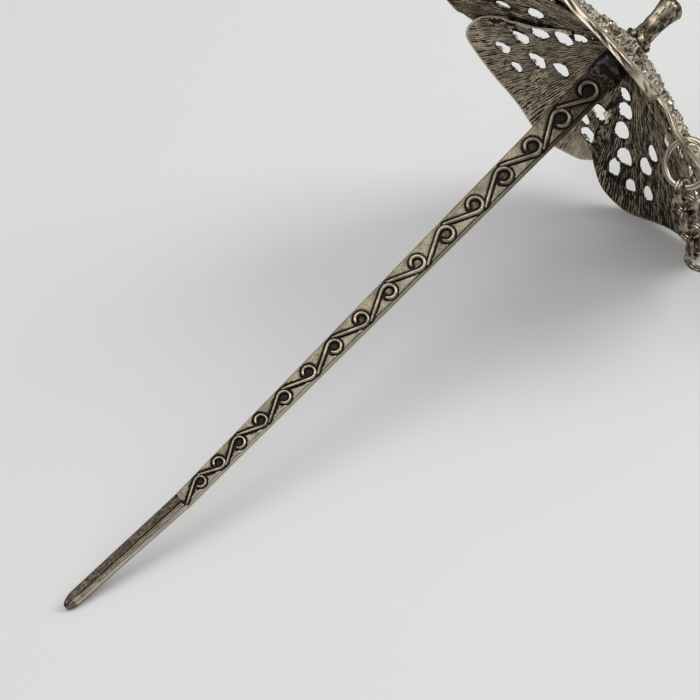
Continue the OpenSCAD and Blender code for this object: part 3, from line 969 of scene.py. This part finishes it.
def turned_piece(profile, sides, rough, seed, name, material, node=None, flat=1.0):
    """A piece turned about the stick's axis, profile as (x, radius), and flattened by
    flat: a little uneven, with a pitted casting seam along it."""
    profile = np.array(profile)
    around = np.linspace(0, 2 * math.pi, sides, endpoint=False)
    x = np.repeat(profile[:, :1], sides, 1)
    r = np.repeat(profile[:, 1:], sides, 1)
    t = np.repeat(around[None, :], len(profile), 0)
    sine, cosine = np.sin(t), np.cos(t)
    wave = (lattice_noise(x + 9, sine * 3 + 9, 0.9, seed) * np.abs(sine)
            + lattice_noise(x + 9, cosine * 3 + 9, 0.9, seed + 1) * np.abs(cosine))
    fine = (lattice_noise(x + 5, t * 2.2, 0.34, seed + 2)
            + 0.6 * lattice_noise(x, t * 2.2, 0.2, seed + 3))
    seam = bell(t - SEAM_TURN - 0.35 * lattice_noise(x, x, 1.2, seed + 4), 0.3)
    r = r + (rough * wave - 0.9 * rough * seam * np.abs(fine)) * (r > 0.05)
    points = np.stack([x, r * cosine, r * sine * flat], -1).reshape(-1, 3)
    quads = grid_quads(len(profile), sides, True).tolist()
    ends = [q[::-1] for q in cap_quads((len(profile) - 1) * sides, sides)]
    quads += cap_quads(0, sides) + ends
    pit = np.clip(0.55 * np.abs(fine) - 0.5 * wave - 0.05 + seam * (1.2 * np.abs(fine) + 0.1), 0, 1)
    add_piece(name, lay_down(points), quads, material, node, {"pit": pit.ravel()})


boss_profile = [(BOSS_BOTTOM, BOSS_R * 0.5), (BOSS_BOTTOM, BOSS_R),
                (BOSS_TOP - BOSS_EDGE, BOSS_R), (BOSS_TOP, BOSS_R - BOSS_EDGE), (BOSS_TOP, 1.0)]
turned_piece(boss_profile, 64, 0.03, 71, "boss", stick_metal)

# Solder: the thick dark fillet that holds the stick to the flower, lumpy and glossy
# where it ran and cooled. It rounds the flat bar's last stretch.
SOLDER_START = 113.9
SOLDER_END = BOSS_BOTTOM - 0.1
SOLDER_R = 2.6
SOLDER_SHOULDER = 0.9
SOLDER_FLAT = 0.66
SOLDER_DULL = (0.035, 0.034, 0.034, 1)
SOLDER_BRIGHT = (0.33, 0.36, 0.39, 1)
solder_metal = antiqued("dark_solder", SOLDER_DULL, SOLDER_BRIGHT, dark_level=0.12, speck=0.9)
solder_profile = [(SOLDER_START, 1.2)]
for x in np.linspace(SOLDER_START + 0.02, SOLDER_END, 56):
    full = min(1, (x - SOLDER_START) / SOLDER_SHOULDER)
    solder_profile.append((x, SOLDER_R * (0.8 + 0.2 * math.sqrt(1 - (1 - full) ** 2))))
solder_profile.append((SOLDER_END + 0.02, 0.8))
turned_piece(solder_profile, 96, 0.2, 151, "solder", solder_metal,
             flat=SOLDER_FLAT)

# Pistil: a short trumpet with a leafy collar, cast in one and pushed onto the post.
# Its end is rounded with a shallow dimple, and its side is pitted.
PISTIL_LENGTH = 9.9
PISTIL_NECK_R = 1.55
PISTIL_END_R = 2.1
COLLAR_R = 1.95
COLLAR_LEAVES = 8
PISTIL_X = BOSS_TOP + 0.08
PISTIL_DULL = (0.19, 0.163, 0.117, 1)
PISTIL_BRIGHT = (0.52, 0.455, 0.34, 1)
pistil_metal = antiqued("antiqued_pistil_metal", PISTIL_DULL, PISTIL_BRIGHT, dark_level=0.0,
                        speck=0.9)
dome_h = PISTIL_END_R * 0.75
foot_x = PISTIL_X + 0.4
neck_x = PISTIL_X + PISTIL_LENGTH * 0.36
end_x = PISTIL_X + PISTIL_LENGTH - 0.02
pistil_profile = [(PISTIL_X, 0.6), (PISTIL_X, COLLAR_R - 0.15), (PISTIL_X + 0.15, COLLAR_R)]
for s in np.linspace(0, 1, 10):
    flare = PISTIL_NECK_R + (COLLAR_R - PISTIL_NECK_R) * (1 - s) ** 2
    pistil_profile.append((foot_x + (neck_x - foot_x) * s, flare))
for s in np.linspace(0, 1, 16)[1:]:
    swell = PISTIL_NECK_R + (PISTIL_END_R - PISTIL_NECK_R) * s ** 2
    pistil_profile.append((neck_x + (end_x - dome_h - neck_x) * s, swell))
for a in np.radians(np.linspace(10, 80, 10)):
    pistil_profile.append((end_x - dome_h * (1 - math.sin(a)), PISTIL_END_R * math.cos(a)))
pistil_profile += [(end_x - 0.12, 0.25), (end_x - 0.2, 0.05)]
turned_piece(pistil_profile, 72, 0.10, 81, "pistil_trumpet", pistil_metal, "pistil")

# Collar leaves: rounded lumps of the same casting, in a wreath round the pistil's foot,
# each of its own size, with black left in the creases between them.
leaf_points = []
leaf_quads = []
leaf_pits = []
LEAF_RINGS = 11
LEAF_SIDES = 20
leaf_sizes = np.random.default_rng(5).uniform(0.6, 0.82, COLLAR_LEAVES)
for n, leaf_r in enumerate(leaf_sizes):
    turn = 2 * math.pi * (n + 0.4) / COLLAR_LEAVES
    first = len(leaf_points)
    for s in np.linspace(0, 1, LEAF_RINGS):
        swell = math.sqrt(max(0.002, 1 - (2 * s - 1) ** 2)) * leaf_r * (1 - 0.2 * s)
        for t in np.linspace(0, 2 * math.pi, LEAF_SIDES, endpoint=False):
            lump = 1 + 0.14 * math.sin(3 * t + 2 * n) * math.sin(5 * s + n)
            out = COLLAR_R - 0.35 + 0.5 * s + swell * math.cos(t) * 0.8 * lump
            side = swell * math.sin(t) * 1.1 * lump
            up = PISTIL_X + 0.1 + (0.8 + leaf_r) * s + 0.12 * math.cos(3 * t + n)
            leaf_points.append((up, out * math.cos(turn) - side * math.sin(turn),
                                out * math.sin(turn) + side * math.cos(turn)))
            crease = soft_step(0.55, 1.0, abs(math.sin(t))) + 1 - soft_step(0.1, 0.3, s)
            leaf_pits.append(min(1, 0.1 + 0.8 * crease))
    leaf_quads += (grid_quads(LEAF_RINGS, LEAF_SIDES, True) + first).tolist()
    leaf_quads += cap_quads(first, LEAF_SIDES)
    leaf_quads += [q[::-1] for q in cap_quads(first + (LEAF_RINGS - 1) * LEAF_SIDES, LEAF_SIDES)]
add_piece("pistil_collar", lay_down(leaf_points), leaf_quads, pistil_metal,
          None, {"pit": leaf_pits})

# Jump ring and chain: plain round wire, silver-toned and lightly antiqued. The ring
# passes through a hole by the fourth petal's margin, and the links hang from it. The
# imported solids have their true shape, so they only get the metal.
def wire_finish(name, dull, bright, dark_level):
    """Drawn wire: fine scratches, grey in the hollows."""
    material, surface, place = new_finish(name)
    cloud = place.grain(1.4)
    fine = place.grain(0.25, 3.0, 0.6)
    dark = ((cloud - 0.55) * 1.6 + (fine - 0.5) + dark_level).clamped()
    colour = tarnished(dark, cloud.blend(dull, bright))
    bump = place.node("ShaderNodeBump", {}, {
        "Strength": 0.25, "Distance": 0.03 * MM, "Height": fine})
    paint(surface, Base_Color=colour, Metallic=1.0, Roughness=0.24 + 0.25 * dark, Normal=bump)
    return material


RING_DULL = (0.26, 0.225, 0.165, 1)
RING_BRIGHT = (0.62, 0.55, 0.43, 1)
CHAIN_DULL = (0.16, 0.13, 0.10, 1)
CHAIN_BRIGHT = (0.58, 0.50, 0.39, 1)
ring_metal = wire_finish("ring_wire_metal", RING_DULL, RING_BRIGHT, dark_level=0.0)
link_metal = wire_finish("chain_wire_metal", CHAIN_DULL, CHAIN_BRIGHT, dark_level=0.3)


def dress_node(name, material):
    """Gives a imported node, which stays as it is, a material of its own."""
    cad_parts[name].data.materials.clear()
    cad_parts[name].data.materials.append(material)


dress_node("jump_ring", ring_metal)
for name in sorted(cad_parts):
    if name.startswith("link_"):
        dress_node(name, link_metal)

# Table, light and camera: a plain pale sheet, big soft lamps round it, and the
# photograph's viewing angle. Names with PX hold pixels of a 700 pixel frame.
FOCAL_PX = 3226
FRAME_PX = 700
SENSOR_MM = 36
FLOOR_HALF = 3
VIEW_TURN = math.radians(64.07)
VIEW_DROP = math.radians(37.49)
VIEW_ROLL = math.radians(17.0)
VIEW_RANGE = 495.84
APEX_PX = (637.1, 41.9)
table = bpy.data.meshes.new("table")
floor_corners = [(-FLOOR_HALF, -FLOOR_HALF, 0), (FLOOR_HALF, -FLOOR_HALF, 0),
                 (FLOOR_HALF, FLOOR_HALF, 0), (-FLOOR_HALF, FLOOR_HALF, 0)]
table.from_pydata(floor_corners, [], [(0, 1, 2, 3)])
table_top = bpy.data.objects.new("table", table)
bpy.context.scene.collection.objects.link(table_top)
paper, paper_surface, _ = new_finish("pale_sheet")
paint(paper_surface, Base_Color=(0.64, 0.64, 0.635, 1), Roughness=0.9)
table.materials.append(paper)

camera = bpy.data.cameras.new("camera")
camera.sensor_width = SENSOR_MM
camera.lens = SENSOR_MM * FOCAL_PX / FRAME_PX
camera.clip_end = 20
viewer = bpy.data.objects.new("camera", camera)
bpy.context.scene.collection.objects.link(viewer)
bpy.context.scene.camera = viewer
forward = Vector((math.cos(VIEW_TURN) * math.cos(VIEW_DROP),
                  math.sin(VIEW_TURN) * math.cos(VIEW_DROP), -math.sin(VIEW_DROP)))
level = forward.cross(Vector((0, 0, 1))).normalized()
right = Matrix.Rotation(VIEW_ROLL, 3, forward) @ level
up = right.cross(forward)
apex = Vector(lay_down([[BLOOM_X, 0, 0]])[0])
offset = ((APEX_PX[0] - FRAME_PX / 2) * right - (APEX_PX[1] - FRAME_PX / 2) * up) / FOCAL_PX
place = apex - (forward + offset) * VIEW_RANGE * MM
turned_view = Matrix((right, up, -forward)).transposed().to_4x4()
viewer.matrix_world = Matrix.Translation(place) @ turned_view


def soft_lamp(name, turn, height, distance, size, power, tint):
    """A square lamp looking down at the part from turn round it and height above."""
    lamp = bpy.data.lights.new(name, "AREA")
    lamp.shape = "SQUARE"
    lamp.size = size
    lamp.energy = power
    lamp.color = tint
    fitting = bpy.data.objects.new(name, lamp)
    aim = Vector((math.cos(math.radians(turn)) * math.cos(math.radians(height)),
                  math.sin(math.radians(turn)) * math.cos(math.radians(height)),
                  math.sin(math.radians(height))))
    fitting.location = aim * distance
    fitting.rotation_euler = aim.to_track_quat("Z", "Y").to_euler()
    bpy.context.scene.collection.objects.link(fitting)


soft_lamp("lamp_right", turn=-36, height=38, distance=0.9, size=0.5, power=4.4,
          tint=(1, 0.99, 0.97))
soft_lamp("lamp_above", turn=150, height=80, distance=1.0, size=0.9, power=3.8, tint=(1, 1, 1))
SKY_LOW = (0.10, 0.10, 0.10, 1)
SKY_HIGH = (0.97, 0.98, 1.0, 1)
SKY_STRENGTH = 0.7
world = bpy.data.worlds.new("studio")
bpy.context.scene.world = world
world.use_nodes = True
sky = world.node_tree.nodes["Background"]
toward = Field(world.node_tree.nodes.new("ShaderNodeTexCoord").outputs["Generated"])
height = toward.node("ShaderNodeSeparateXYZ", {}, {0: toward}, 2)
glow = height.step(0.15, 0.8).blend(SKY_LOW, SKY_HIGH)
world.node_tree.links.new(glow.socket, sky.inputs["Color"])
sky.inputs["Strength"].default_value = SKY_STRENGTH
bpy.context.scene.view_settings.view_transform = "Standard"
